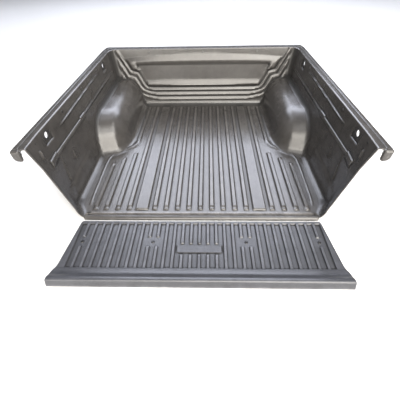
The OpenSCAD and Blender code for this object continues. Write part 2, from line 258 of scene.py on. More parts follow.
def floor_relief(x, y):
    """Heights of the ribs, bands and beads on the floor."""
    ax = np.abs(x)

    def rib(centre, front, half, ramp=None):
        """Rib or band whose front end runs out over a ramp, or is round without one."""
        across = half - np.abs(ax - centre)
        along = y - RIB_REAR
        if ramp is None:
            ahead = np.maximum(y - (front - half), 0)
            across = np.where(ahead > 0, half - np.hypot(ax - centre, ahead), across)
        else:
            along = np.minimum(along, (front - y) * 5.0 / ramp)
        step = 1.0
        if half == RIB_HALF:
            step = 1 - 0.3 * smooth(RIB_REAR + RIB_STEP[1], RIB_REAR + RIB_STEP[0], y)
        return RIB_H * swell(np.minimum(across, along), RIB_BEVEL) * step

    h = rib(BAND_X, RIB_FRONT + 4, BAND_HALF, 16.0)
    for centre in RIB_X:
        h = np.maximum(h, rib(centre, RIB_FRONT, RIB_HALF, 9.0))
    for centre, front in OUTER_RIBS:
        h = np.maximum(h, rib(centre, front, RIB_HALF))
    h = np.maximum(h, RIB_H * swell(-path_gap(ax, y, ARCH_RIB), RIB_BEVEL))
    return np.maximum(h, SIDE_BEAD_H * swell(-path_gap(ax, y, SIDE_BEAD), SIDE_BEAD_BEVEL))


def side_relief(y, z):
    """Heights of the details that a side wall carries."""
    h = np.zeros(y.shape)
    for path, height, bevel in WALL_LINES:
        h = np.maximum(h, height * swell(-path_gap(y, z, path), bevel))
    for y0, y1, z0, z1, height in RIDGE_BARS:
        h = np.maximum(h, height * swell(np.minimum(within(y, y0, y1), within(z, z0, z1)), RIDGE_BEVEL))
    # Behind the arch the wall stands out a little below this crease
    crease = 117 + (y - 126) * 0.04
    behind = smooth(116, 130, y) * smooth(540, 510, y)
    h = np.maximum(h, 5.5 * behind * smooth(crease + 5, crease - 3, z))
    return np.maximum(h, 4.0 * swell(REAR_ROLL - np.abs(y - REAR_ROLL), 5.5))


def frame_gap(x, z):
    """Distance outside the front wall's frame, seen square on."""
    ax = np.abs(x)
    gaps = []
    for (x0, z0), (x1, z1) in zip(FRAME_EDGE[:-1], FRAME_EDGE[1:]):
        run = math.hypot(x1 - x0, z1 - z0)
        gaps.append(((ax - x0) * (z1 - z0) - (z - z0) * (x1 - x0)) / run)
    lower, shoulder, upper = gaps
    return np.minimum(lower, np.maximum(shoulder, upper))


def front_relief(x, z):
    """Heights of the frame, the sunken panel and the beads on the front wall."""
    ax = np.abs(x)
    sides = frame_gap(x, z)
    bow = np.clip(1 - (ax / FRAME_EDGE[-1][0]) ** 2, 0, 1)
    top, crest, panel_top = 411 + 31 * bow, 371 + 15 * bow, 355 + 6 * bow
    panel_low, low, under = 224 + 5 * bow, 194 - 8 * bow, 182 - 9 * bow
    ends = np.minimum((z - under) / (low - under), (top - z) / (top - crest))
    h = FRAME_H * np.clip(np.minimum(-sides / 15, ends), 0, 1)
    (x0, z0), (x1, z1) = PANEL_LOWER, PANEL_UPPER
    edge = x1 + (z - z1) * (x1 - x0) / (z1 - z0) + 12 - ax
    ends = np.minimum((crest - z) / (crest - panel_top), (z - low) / (panel_low - low))
    h = h - PANEL_DEPTH * np.clip(np.minimum(edge / 13, ends), 0, 1)
    # The beads run under the frame and turn up beside it, where they are lower and steeper
    foot = FRAME_EDGE[0][1]
    around = np.hypot(np.maximum(sides, 0), np.maximum(foot - z, 0)) / (1 + 0.1 * smooth(500, 600, ax))
    aslant = smooth(-30, 15, sides)
    peak = 0.80 - 0.25 * aslant
    for upper, lower in FRAME_BEADS:
        share = (around - upper) / (lower - upper)
        step = smooth(0, peak, share) * smooth(1.0, peak + 0.04, share)
        h = np.maximum(h, (13 - 2 * aslant) * step)
    return h


def relief(p, n):
    """Tub's inner face with every detail on it."""
    x, y, z = p[:, 0], p[:, 1], p[:, 2]
    arch = arch_gap(x, y, z)
    on_floor = smooth(4.0, 1.0, np.abs(z - SHEET)) * smooth(0.9, 0.98, n[:, 2])
    on_side = smooth(3.0, 1.0, side_wall_gap(x, y, z)) * smooth(9, 14, arch)
    on_front = smooth(3.0, 1.0, front_gap(y, z)) * smooth(2, 12, arch)
    h = on_floor * floor_relief(x, y)
    h = np.maximum(h, on_side * side_relief(y, z))
    h = np.maximum(h, on_front * front_relief(x, z) * smooth(800, 770, np.abs(x)))
    out = p + n * h[:, None]
    # Pockets with an upright face round the tie-down holes
    for yc in TIE_Y:
        inside = np.minimum(POCKET_HALF - np.abs(y - yc), z - POCKET_Z)
        weight = swell(inside, 6.0) * (np.abs(x) > 700)
        out[:, 0] += np.sign(x) * weight * np.maximum(POCKET_X - np.abs(out[:, 0]), 0)
    return out


# -------- grids and meshes

def lines(lo, hi, marks, step):
    """Sorted line positions through the marks, with gaps filled where step(position) is passed."""
    keep = [lo]
    for m in sorted(marks):
        if m - keep[-1] > 1.3 and hi - m > 1.3:
            keep.append(m)
    keep.append(hi)
    out = [lo]
    for a, b in zip(keep[:-1], keep[1:]):
        n = max(1, math.ceil((b - a) / step((a + b) / 2)))
        out += [a + (b - a) * (i + 1) / n for i in range(n)]
    return np.array(out)


def vertex_normals(points, faces):
    """Vertex normals weighted by the area of the faces around them."""
    a, b, c, d = (points[faces[:, k]] for k in range(4))
    n = np.cross(c - a, d - b)
    out = np.zeros_like(points)
    for k in range(4):
        np.add.at(out, faces[:, k], n)
    return out / np.maximum(np.linalg.norm(out, axis=1, keepdims=True), 1e-12)


def rim_edges(faces):
    """Edges that only one face has, in the order in which that face runs them."""
    seen = {}
    for f in faces:
        for k in range(4):
            a, b = int(f[k]), int(f[(k + 1) % 4])
            if a == b:
                continue
            key = (min(a, b), max(a, b))
            seen[key] = None if key in seen else (a, b)
    return [e for e in seen.values() if e]


def sheet_mesh(name, points, faces, thick):
    """Sheet of even thickness: the visible face, its back and the rims between them."""
    n = vertex_normals(points, faces)
    back = points - n * thick
    back[:, 1] = np.maximum(back[:, 1], points[:, 1].min())
    back[:, 2] = np.maximum(back[:, 2], 0.0)
    count = len(points)
    rims = [(a, a + count, b + count, b) for a, b in rim_edges(faces)]
    quads = np.vstack([faces, faces[:, ::-1] + count, np.array(rims, int)])
    return mesh_object(name, np.vstack([points, back]), quads)


def add_object(name, data):
    obj = bpy.data.objects.new(name, data)
    bpy.context.scene.collection.objects.link(obj)
    return obj


def mesh_object(name, points, quads):
    """Smooth-shaded mesh of quads; a corner that is named twice makes a triangle."""
    flat = to_frame(points)
    polys = []
    for q in quads.tolist():
        p = [v for k, v in enumerate(q) if v != q[k - 1]]
        if len(set(p)) == len(p) and len(p) > 2:
            polys.append(p)
    mesh = bpy.data.meshes.new(name)
    mesh.from_pydata(flat.tolist(), [], polys)
    mesh.validate()
    mesh.polygons.foreach_set("use_smooth", [True] * len(mesh.polygons))
    mesh.update()
    return add_object(name, mesh)


def crisp(obj, angle):
    """Weighted normals, split at edges sharper than angle (degrees)."""
    mesh = obj.data
    mesh.set_sharp_from_angle(angle=math.radians(angle))
    mod = obj.modifiers.new("weighted", "WEIGHTED_NORMAL")
    mod.keep_sharp = True
    mod.weight = 50
    return obj


def block(a, b, c, d):
    """Quads of a grid from its four index arrays."""
    return np.stack([a, b, c, d], axis=-1).reshape(-1, 4)


def grid_faces(ids, flip=False):
    """Quads of a grid of point numbers, turned over by flip."""
    a, b, c, d = ids[:-1, :-1], ids[1:, :-1], ids[1:, 1:], ids[:-1, 1:]
    return block(d, c, b, a) if flip else block(a, b, c, d)


# -------- tub liner

def tub_lines():
    """Grid lines of the tub in X, Y and Z, closest where a detail starts, ends or bends."""
    ribs = [(c, RIB_HALF) for c in RIB_X + [r[0] for r in OUTER_RIBS] + [ARCH_RIB_X]]
    marks = [c + side * (half - inset) for c, half in ribs + [(BAND_X, BAND_HALF)]
             for inset in (-4.5, 0.0, RIB_BEVEL) for side in (-1, 1)]
    # Bead at the foot of the side wall
    marks += [678, 681, 685, 689, 692, 696, 700, 703]
    half = lines(0.0, FOOT_X, [x for x in marks if 0 < x < FOOT_X], lambda x: 24 if x < 500 else 13)
    x = np.concatenate([-half[:0:-1], half])

    # Rolled rear edge, rear bead and pillar pad
    marks = [3, 7, 12, 18, 30, 44, 56, 78, 84]
    # Faint marks behind the arch, and the slanting line beyond it
    marks += [184, 190, 196, 202, 213, 222, 229, 334, 340, 346, 352, 358]
    marks += [865, 870, 876, 882, 888, 894, 901]
    marks += [RIB_REAR + d for d in (0, 4, 7.5, *RIB_STEP)]
    marks += [front - d for _, front in OUTER_RIBS[1:] for d in (15, 9, 4, 0)]
    marks += [RIB_FRONT - d for d in (15, 12, 9, 6, 3, 0, -4)]
    for y0, y1, *_ in RIDGE_BARS:
        marks += [y0, y0 + 3, y0 + 5, y1 - 5, y1 - 3, y1]
    marks += [yc + side * d for yc in TIE_Y for side in (-1, 1) for d in (48, 45, 42, 30, 20, 10, 0)]
    y = lines(0.0, FLOOR_Y, marks, lambda v: 11 if 600 < v < 840 else 22 if 840 < v < 960 else 34)

    # Hollow round the floor, front wall's beads, its frame and panel
    marks = [8, 14, 22, 32, 44]
    marks += [51, 57, 67, 93, 99, 110, 137, 143, 154]
    marks += [173, 179, 186, 194, 224, 358, 372, 386, 412]
    # The side walls' lower and upper ridges
    marks += [302, 307, 311, 313.5, 315.6, 328.4, 330.5, 333, 337, 341]
    marks += [406, 416, 420, 424, 428, 432, 436]
    marks += [POCKET_Z, POCKET_Z + 3, POCKET_Z + 6]
    marks += [TIE_Z + d for d in range(-HOLE_CELL, HOLE_CELL + 1, 10)]
    z = lines(SHEET, WALL_TOP, marks, lambda v: 14.5)
    return x, y, z


def sights(x, y):
    """Points in the cargo space from which the lines to the tub's face start."""
    from_y = np.interp(y, [0, 450, 1000, 1350, 1500], [0, 450, 720, 1230, 1260])
    return np.stack([np.clip(x, -400, 400), from_y, np.full(x.shape, 380.0)], axis=1)


def tub_face():
    """Grid of the tub's face: floor, two side walls and the front wall, with shared corners."""
    xl, yl, zl = tub_lines()
    nx, ny, nz = len(xl), len(yl), len(zl)
    up = zl[1:] - SHEET
    floor = np.arange(nx * ny).reshape(nx, ny)
    base, eye = [], []

    def add(x, y, z, from_y):
        base.append(np.stack([x, y, z], axis=-1).reshape(-1, 3))
        eye.append(sights(x.ravel(), from_y.ravel()))

    gx, gy = np.meshgrid(xl, yl, indexing="ij")
    add(gx, gy, np.full_like(gx, SHEET), gy)
    count = floor.size
    sides = []
    for s in (-1, 1):
        ids = np.zeros((nz, ny), int)
        ids[0] = floor[0 if s < 0 else nx - 1]
        ids[1:] = count + np.arange((nz - 1) * ny).reshape(nz - 1, ny)
        count += (nz - 1) * ny
        gz, gy = np.meshgrid(up, yl, indexing="ij")
        lean = np.clip((gy - LEAN_Y) / (FLOOR_Y - LEAN_Y), 0, 1) * gz * FRONT_SLOPE
        add(s * (FOOT_X + gz * SIDE_SLOPE), gy + lean, gz + SHEET, gy)
        sides.append(ids)
    front = np.zeros((nx, nz), int)
    front[:, 0] = floor[:, -1]
    front[0], front[-1] = sides[0][:, -1], sides[1][:, -1]
    front[1:-1, 1:] = count + np.arange((nx - 2) * (nz - 1)).reshape(nx - 2, nz - 1)
    gx, gz = np.meshgrid(xl[1:-1], up, indexing="ij")
    lean = np.clip((np.abs(gx) - LEAN_X) / LEAN_RUN, 0, 1) * gz * SIDE_SLOPE * np.sign(gx)
    add(gx + lean, FLOOR_Y + gz * FRONT_SLOPE, gz + SHEET, np.full_like(gx, FLOOR_Y))

    points = trace(np.vstack(eye), np.vstack(base))
    points = relief(points, slope_of(points))
    return points, floor, sides, front, (xl, yl, zl)


# Section (y, z) of the bead along the floor's rear edge, from its foot over the top and down
LIP = [(31, 4.5), (26, 5.2), (22.5, 7.6), (19.5, 10.2), (16, 12.7), (11, 15.0), (5, 16.0), (-1, 15.1),
       (-6.5, 12.4), (-11, 8.0), (-13.8, 3.4), (-14.6, 0.0)]
# |x| up to which the bead is whole, and from which it is gone
LIP_X = (676, 702)
# The floor's first rows close up over this length in front of the bead
LIP_RUN = 6


def lip_share(x):
    """1 where the rear bead runs its full height, 0 beyond its ends."""
    return smooth(LIP_X[1], LIP_X[0], np.abs(x))


def add_lip(points, floor, xl):
    """Rolls the floor's rear rows into the bead along its rear edge."""
    extra = np.zeros((floor.shape[0], len(LIP)), int)
    fresh = []
    reach = lip_share(xl)
    for i in range(floor.shape[0]):
        edge = points[floor[i, 0]]
        for r, (ly, lz) in enumerate(LIP):
            flat = np.array([edge[0], edge[1] - 0.02 * (r + 1), edge[2]])
            bead = np.array([xl[i], ly, lz])
            extra[i, r] = len(points) + len(fresh)
            fresh.append(flat + (bead - flat) * reach[i])
    return np.vstack([points, np.array(fresh)]), extra


def leaned(x):
    """Where the front wall's grid line that starts at x meets the flange."""
    return x + max(0.0, (x - LEAN_X) / LEAN_RUN) * (TOP_X - FOOT_X)


def round_corner(base, first, last, start, end):
    """Run from start along a straight edge, and angle round the flange's corner at its end: places
    from first to last are spread evenly as far as the corner's middle."""
    straight = end - RAIL_R - start
    run = (base - first) / (last - first) * (straight + RAIL_R * math.pi / 4)
    return min(run, straight), max(run - straight, 0.0) / RAIL_R


def rail_outline(s, base, along):
    """Point on the skirt's outline for a place along the wall top: side walls by y, front wall by x."""
    if along == "side":
        if base <= ROUND_Y:
            return s * RAIL_X, base
        run, a = round_corner(base, ROUND_Y, FLOOR_Y, ROUND_Y, RAIL_Y)
        return s * (RAIL_X - RAIL_R + RAIL_R * math.cos(a)), ROUND_Y + run + RAIL_R * math.sin(a)
    if base <= ROUND_X:
        return s * leaned(base), RAIL_Y
    run, a = round_corner(base, ROUND_X, FOOT_X, leaned(ROUND_X), RAIL_X)
    return s * (leaned(ROUND_X) + run + RAIL_R * math.sin(a)), RAIL_Y - RAIL_R + RAIL_R * math.cos(a)


# Flange rows: place (in from the wall, back from the outline, or share of the way) and height
FLANGE = [("in", 0.6, 477.6), ("in", 2.6, 480.4), ("in", 6, 481.7), ("in", 10, 482),
          ("share", 0.53, 481.9), ("share", 0.565, 480.7), ("share", 0.60, 480.7),
          ("share", 0.635, 481.9), ("out", 10, 482), ("out", 5, 481.2), ("out", 1.6, 478.6),
          ("out", 0.3, 474.6), ("out", 0, 468), ("out", 0, 452), ("out", 0, SKIRT_Z)]


def add_flange(points, sides, front, xl, yl):
    """Flange over the rails and its skirt, along the top of the side and front walls."""
    ring = [(sides[1][-1, j], rail_outline(1, yl[j], "side")) for j in range(len(yl))]
    ring += [(front[i, -1], rail_outline(math.copysign(1, xl[i]), abs(xl[i]), "front"))
             for i in range(len(xl) - 2, 0, -1)]
    ring += [(sides[0][-1, j], rail_outline(-1, yl[j], "side")) for j in range(len(yl) - 1, -1, -1)]
    ids = np.zeros((len(ring), len(FLANGE) + 1), int)
    fresh = []
    for i, (inner, outer) in enumerate(ring):
        ids[i, 0] = inner
        p, q = points[inner][:2], np.array(outer)
        way = q - p
        length = np.linalg.norm(way)
        way = way / length
        for r, (kind, amount, height) in enumerate(FLANGE):
            far = {"in": amount, "share": amount * length, "out": length - amount}[kind]
            ids[i, r + 1] = len(points) + len(fresh)
            fresh.append([*(p + way * far), height])
    return np.vstack([points, np.array(fresh)]), ids


def punch(points, ids, yl, zl, s, yc):
    """Cuts a tie-down hole in a side wall's grid; returns points, range of cut cells and new faces."""
    j0, j1 = (int(np.argmin(np.abs(yl - yc - d))) for d in (-HOLE_CELL, HOLE_CELL))
    k0, k1 = (int(np.argmin(np.abs(zl - TIE_Z - d))) for d in (-HOLE_CELL, HOLE_CELL))
    loop = [ids[k0, j] for j in range(j0, j1)] + [ids[k, j1] for k in range(k0, k1)]
    loop += [ids[k1, j] for j in range(j1, j0, -1)] + [ids[k, j0] for k in range(k1, k0, -1)]
    rings = [np.array(loop)]
    for r in (TIE_R + 4, TIE_R):
        around = []
        for v in loop:
            a = math.atan2(points[v][2] - TIE_Z, points[v][1] - yc)
            around.append([s * POCKET_X, yc + r * math.cos(a), TIE_Z + r * math.sin(a)])
        rings.append(len(points) + np.arange(len(loop)))
        points = np.vstack([points, np.array(around)])
    strip = [block(a, np.roll(a, -1), np.roll(b, -1), b) for a, b in zip(rings[:-1], rings[1:])]
    return points, (k0, k1, j0, j1), np.vstack(strip)


def make_tub():
    """The tub's sheet: floor with its rear bead, walls with their holes, and the flange."""
    points, floor, sides, front, (xl, yl, zl) = tub_face()
    holes, rings = {}, []
    for k, s in enumerate((-1, 1)):
        for yc in TIE_Y:
            points, cut, strip = punch(points, sides[k], yl, zl, s, yc)
            holes.setdefault(k, []).append(cut)
            rings.append(strip if s < 0 else strip[:, ::-1])
    points, lip = add_lip(points, floor, xl)
    # Where the bead runs its full height the floor's first rows start at its foot
    foot = int(np.argmin(np.abs(yl - LIP[0][0] - LIP_RUN)))
    for i, share in enumerate(lip_share(xl)):
        for j in range(foot):
            y0 = points[floor[i, j]][1]
            points[floor[i, j]][1] = y0 + (LIP[0][0] + LIP_RUN * y0 / yl[foot] - y0) * share
    rear = np.hstack([lip[:, ::-1], floor[:, :1]])
    faces = [grid_faces(rear), grid_faces(floor)]
    for k, flip in ((0, True), (1, False)):
        ids = sides[k]
        mask = np.ones((ids.shape[0] - 1, ids.shape[1] - 1), bool)
        for k0, k1, j0, j1 in holes[k]:
            mask[k0:k1, j0:j1] = False
        quads = grid_faces(ids, flip).reshape(mask.shape[0], mask.shape[1], 4)
        faces.append(quads[mask])
    faces.append(grid_faces(front))
    points, flange = add_flange(points, sides, front, xl, yl)
    faces.append(grid_faces(flange, True))
    faces += rings
    return sheet_mesh("tub_sheet", points, np.vstack(faces), SHEET)


# -------- rail ends

def rounded_ring(x0, x1, z0, z1, radii, n=6):
    """Rounded rectangle in X and Z, from the top right corner round by the bottom."""
    top_right, bottom_right, bottom_left, top_left = radii
    corners = ((x1, z1, top_right, -1, -1, 90), (x1, z0, bottom_right, -1, 1, 0),
               (x0, z0, bottom_left, 1, 1, -90), (x0, z1, top_left, 1, -1, -180))
    out = []
    for x, z, r, sx, sz, start in corners:
        for k in range(n + 1):
            a = math.radians(start - 90 * k / n)
            out.append((x + sx * r + r * math.cos(a), z + sz * r + r * math.sin(a)))
    return out


# Rows of a rail end, front to rear: y, inner face, underside, and set-in of the outline
END_LOW = 420.0
HORN = [(14, 852, 437, 0.6), (4, 848, 436, 0.4), (0, 845.5, 430, 0.2), (-3, 843.6, 423, 0.1),
        (-7, 843, 420.4, 0), (-11, 843, END_LOW, 0.6), (-14, 843, END_LOW, 2), (-16.6, 843, END_LOW, 4.2),
        (-18.6, 843, END_LOW, 7.4), (-19.6, 843, END_LOW, 10.5), (-20, 843, END_LOW, 14)]
# Corner radii of its section: top right, bottom right where the underside is lowest, and the others
HORN_R = (10.0, 26.0, 12.0, 8.0)


def rail_end(s):
    """Cap that closes the rear end of a rail; the right one is mirrored for the left."""
    rows = []
    top_right, outer, bottom_left, top_left = HORN_R
    for y, inner, low, inset in HORN:
        drop = min(outer, max(5.0, outer - (low - END_LOW) * 1.2)) - inset
        radii = (max(top_right - inset, 2), max(drop, 3), max(bottom_left - inset, 2),
                 max(top_left - inset, 1.5))
        ring = rounded_ring(inner + inset, RAIL_X - inset, low + inset, RAIL_Z - inset, radii)
        rows.append([(s * x, y, z) for x, z in ring])
    n = len(rows[0])
    points = np.array([p for row in rows for p in row])
    ids = np.arange(len(points)).reshape(len(rows), n)
    ids = np.hstack([ids, ids[:, :1]])
    faces = [grid_faces(ids, s < 0)]
    # The end face closes in two steps, down to a pinhole in its middle
    last = points[ids[-1, :-1]]
    middle = last.mean(axis=0)
    ring = ids[-1]
    for share in (0.5, 0.02):
        inner = middle + (last - middle) * share
        fresh = len(points) + np.arange(n)
        points = np.vstack([points, inner])
        fresh = np.append(fresh, fresh[0])
        faces.append(grid_faces(np.array([ring, fresh]), s < 0))
        ring = fresh
    return sheet_mesh("rail_end", points, np.vstack(faces), SHEET)


# -------- tailgate liner

# Ribs: spacing, half width, height, height of the lands between them and bevel
GATE_PITCH, GATE_RIB_HALF, GATE_TOP, GATE_LAND, GATE_BEVEL = 45.5, 9.0, 19.0, 12.0, 3.0
# The ribbed field, the flat pads round the screws, and the plain bar
FIELD_X, FIELD_REAR, FIELD_FRONT = 673.5, -342.0, -50.0
PAD_Y, PAD_HALF = -178.0, 26.0
BAR_Y, BAR_HALF, BAR_CLEAR = (-250.0, -200.0), 118.0, 5.0
# Ribs counted from the middle: the last one, the last that the bar breaks, and those that pads break
LAST_RIB, BAR_RIB, PAD_RIBS = 14, 2, (5, 6, 14)
GATE_SCREW_X = (LAST_RIB * GATE_PITCH, 5.5 * GATE_PITCH)
# Section (y, z) on both sides of the field: the hinge edge, then step, ridge and skirt of the lip
GATE_LINE = [(-34, 0), (-34.4, 7), (-35.1, 13.6), (-36.6, 17.4), (-39.5, 19), (-46, 19)]
GATE_LIP = [(-344.5, 19), (-346.5, 19.3), (-348.5, 21.4), (-351, 22), (-356, 22.1),
            (-364, 22.7), (-372, 24.3), (-380, 27), (-388, 30.9), (-396, 36.2),
            (-402, 39.4), (-408, 41.2), (-414, 42), (-419.5, 41.8), (-423.5, 39.6),
            (-426.3, 35.6), (-429.5, 24), (-432.8, 12), (-436, 0)]
# Side columns: how far in from the outline, and share of the height; they need this much room
GATE_SIDE = [(11, 1), (5, 1), (1.6, 0.94), (0.2, 0.78), (0, 0.4), (0, 0)]
GATE_SIDE_ROOM = 12.0


def gate_half(y):
    """Half width of the tailgate liner, rounded off at the hinge edge."""
    half = np.interp(-y, [34, 328, 368, 436], [684, 714, 729, 730])
    corner = np.clip((y + 56) / 22, 0, 1)
    return half - 14 * (1 - np.sqrt(1 - 0.95 * corner ** 2))


def gate_sink(x, y):
    """How far the tailgate liner's lands lie below its ribs, as a share of the rib height."""
    k = np.round(x / GATE_PITCH)
    off = np.abs(x - k * GATE_PITCH)
    ak = np.abs(k)
    rib = np.where(ak <= LAST_RIB, GATE_RIB_HALF - off, -GATE_RIB_HALF)
    by_bar = ak <= BAR_RIB
    gap_rear = np.where(by_bar, BAR_Y[0] - BAR_CLEAR, PAD_Y - PAD_HALF)
    gap_front = np.where(by_bar, BAR_Y[1] + BAR_CLEAR, PAD_Y + PAD_HALF)
    # Rounded ends on both sides of a gap in the rib
    ahead = np.maximum(y - (gap_rear - GATE_RIB_HALF), 0)
    behind = np.maximum(gap_front + GATE_RIB_HALF - y, 0)
    end = np.minimum(ahead, behind)
    broken = (by_bar | np.isin(ak, PAD_RIBS)) & (end > 0)
    rib = np.where(broken, GATE_RIB_HALF - np.hypot(off, end), rib)
    bar = np.minimum(BAR_HALF - np.abs(x), within(y, *BAR_Y))
    raised = swell(np.maximum(rib, bar), GATE_BEVEL)
    field = np.minimum(swell(FIELD_X - np.abs(x), 2.5), swell(y - FIELD_REAR, 3.0))
    field = np.minimum(field, swell(FIELD_FRONT - y, 9.0))
    return field * (1 - raised)


def gate_lines():
    """Grid lines of the ribbed field in X, from the middle outwards, and in Y."""
    marks = [k * GATE_PITCH + side * (GATE_RIB_HALF - inset) for k in range(LAST_RIB + 1)
             for inset in (-4.5, 0.0, GATE_BEVEL) for side in (-1, 1)]
    marks += [BAR_HALF, BAR_HALF - GATE_BEVEL]
    half = lines(0.0, FIELD_X, [m for m in marks if 0 < m < FIELD_X], lambda v: 13)
    half = np.append(half[:-1], [FIELD_X - 2.5, FIELD_X])

    marks = [BAR_Y[0], BAR_Y[0] + GATE_BEVEL, BAR_Y[1] - GATE_BEVEL, BAR_Y[1]]
    for edge, way in ((PAD_Y + PAD_HALF, 1), (PAD_Y - PAD_HALF, -1),
                      (BAR_Y[1] + BAR_CLEAR, 1), (BAR_Y[0] - BAR_CLEAR, -1)):
        marks += [edge + way * d for d in (0, 1.5, 3.5, 6, 9)]
    marks += [FIELD_FRONT - d for d in (3, 6, 9, 14, 20)]
    marks += [FIELD_REAR + d for d in (3, 7.5, 13)]
    return half, lines(FIELD_REAR, FIELD_FRONT, marks, lambda v: 30)


def make_gate():
    """The tailgate liner's sheet: hinge edge, ribbed field and lip, with the sides turned down."""
    half, field = gate_lines()
    rows = GATE_LINE + [(y, GATE_TOP) for y in field[::-1]] + GATE_LIP
    columns = [(x, None, 1.0) for x in half] + [(None, inset, share) for inset, share in GATE_SIDE]
    middle = len(columns) - 1
    grid = np.zeros((len(rows), 2 * middle + 1, 3))
    for j, (y, z) in enumerate(rows):
        outline = float(gate_half(np.array(y)))
        scale = min(1.0, (outline - FIELD_X) / GATE_SIDE_ROOM)
        for i, (x, inset, share) in enumerate(columns):
            if x is None:
                px = outline - inset * scale
            else:
                px = min(x, outline - GATE_SIDE_ROOM * scale)
            grid[j, middle + i] = (px, y, z * share)
            grid[j, middle - i] = (-px, y, z * share)
    flat = grid.reshape(-1, 3)
    x, y = flat[:, 0], flat[:, 1]
    on_field = (np.abs(x) <= FIELD_X + 0.01) & (y >= FIELD_REAR) & (y <= FIELD_FRONT)
    flat[:, 2] -= gate_sink(x, y) * on_field * (GATE_TOP - GATE_LAND)
    ids = np.arange(len(flat)).reshape(len(rows), -1)
    return sheet_mesh("liner_tailgate", flat, grid_faces(ids), SHEET)


def join(name, objects):
    """Joins meshes that are one moulding into one object."""
    for o in bpy.context.selected_objects:
        o.select_set(False)
    for o in objects:
        o.select_set(True)
    bpy.context.view_layer.objects.active = objects[0]
    bpy.ops.object.join()
    objects[0].name = name
    return objects[0]


# -------- turned fittings

def turned(name, profile, places, sides=36, star=None):
    """Solids of revolution: profile rows (height, radius), one solid for each place (point, axis).

    star is (first row, last row, depth): those rows are cut as a six-lobed drive.
    """
    points, faces = [], []
    for centre, axis in places:
        axis = np.array(axis, float) / np.linalg.norm(axis)
        u = np.cross(axis, [0.0, 1.0, 0.0] if abs(axis[1]) < 0.7 else [1.0, 0.0, 0.0])
        u /= np.linalg.norm(u)
        v = np.cross(axis, u)
        base = len(points)
        for r, (height, radius) in enumerate(profile):
            for k in range(sides):
                a = 2 * math.pi * k / sides
                wide = radius
                if star and star[0] <= r <= star[1]:
                    wide = radius * (1 + star[2] * math.cos(6 * a))
                points.append(centre + axis * height + (u * math.cos(a) + v * math.sin(a)) * wide)
        ids = base + np.arange(len(profile) * sides).reshape(len(profile), sides)
        ids = np.hstack([ids, ids[:, :1]])
        if np.allclose(profile[0], profile[-1]):
            ids[-1] = ids[0]
        faces.append(grid_faces(ids, True))
    return mesh_object(name, np.array(points), np.vstack(faces))


def foam_strips(name, boxes):
    """Foam strips with rounded edges, crushed a little here and there along their length."""
    round_up = np.linspace(0, 2 * math.pi, 33)
    u = np.sign(np.cos(round_up)) * np.abs(np.cos(round_up)) ** 0.22
    v = np.sign(np.sin(round_up)) * np.abs(np.sin(round_up)) ** 0.45
    points, faces = [], []
    for lo, hi in boxes:
        half, centre = (np.array(hi) - lo) / 2, (np.array(hi) + lo) / 2
        run, across = (0, 1) if half[0] > half[1] else (1, 0)
        length = half[run]
        ends = [(length, 0.0), (length, 0.85), (length - 0.8, 0.96), (length - 2.5, 1.0)]
        inner = np.linspace(length - 12, 12 - length, math.ceil(length / 12))
        stations = ends + [(t, 1.0) for t in inner] + [(-t, share) for t, share in ends[::-1]]
        ids = np.zeros((len(stations), len(u)), int)
        for j, (t, share) in enumerate(stations):
            crush = 1 - 0.05 * (1 + math.sin(t / 31) * math.sin(t / 83 + 1))
            ids[j, :-1] = len(points) + np.arange(len(u) - 1)
            ids[j, -1] = ids[j, 0]
            if share == 0:
                ids[j] = len(points)
            for k in range(1 if share == 0 else len(u) - 1):
                p = centre.copy()
                p[run] += t
                p[across] += half[across] * u[k] * share
                p[2] += half[2] * v[k] * share * crush
                points.append(p)
        faces.append(grid_faces(ids, run == 1))
    return mesh_object(name, np.array(points), np.vstack(faces))


# -------- places and sections of the fittings

def side_place(s, y, z):
    """Point on a side wall's face, and the direction square to it."""
    x = FOOT_X + (z - SHEET) * SIDE_SLOPE
    return np.array([s * x, y, z]), (-s, 0, SIDE_SLOPE)


def front_place(x, z):
    """Point on the front wall's face, and the direction square to it."""
    return np.array([x, FLOOR_Y + (z - SHEET) * FRONT_SLOPE, z]), (0, -1, FRONT_SLOPE)


RAIL_SCREW_Z = 455.0
SIDE_SCREW_Y = [90 + 347 * i for i in range(4)]
RAIL_SCREWS = {"left": [side_place(-1, y, RAIL_SCREW_Z) for y in SIDE_SCREW_Y],
               "right": [side_place(1, y, RAIL_SCREW_Z) for y in SIDE_SCREW_Y],
               "front": [front_place(x, RAIL_SCREW_Z) for x in (-480, 0, 480)]}
GATE_SCREWS = [(np.array([s * x, PAD_Y, GATE_LAND]), (0, 0, 1)) for s in (-1, 1) for x in GATE_SCREW_X]
# First and last row of the drive's recess in a screw head's section, and depth of its lobes
DRIVE = (0, 2, 0.14)
# Sections (height above the sheet, radius)
PAN_HEAD = [(2.6, 0.02), (2.6, 1.9), (3.2, 2), (4.75, 2.15), (4.95, 2.6), (4.9, 3.6), (4.5, 4.6),
            (3.7, 5.3), (2.6, 5.5), (1.55, 5.35), (1.5, 3), (1.3, 2.75), (-10, 2.75), (-14.5, 1.2),
            (-16.2, 0.02)]
WASHER = [(0, 8.6), (0.25, 9), (1.2, 9), (1.5, 8.7), (1.5, 3.3), (1.3, 3.1), (0.2, 3.1),
          (0, 3.3), (0, 8.6)]
CONE_HEAD = [(2.6, 0.02), (2.6, 1.6), (3.4, 1.75), (3.9, 1.95), (3.85, 4.6), (3.5, 5.2), (3, 5.3),
             (1.2, 3), (-8, 2.75), (-10.3, 0.02)]
CUP = [(0, 9.6), (0.4, 10), (1.2, 9.7), (2.4, 8.8), (2.95, 8.1), (3, 7.2), (2.8, 6.2),
       (1.1, 3.9), (0.2, 3.5), (0, 3.9), (0, 9.6)]
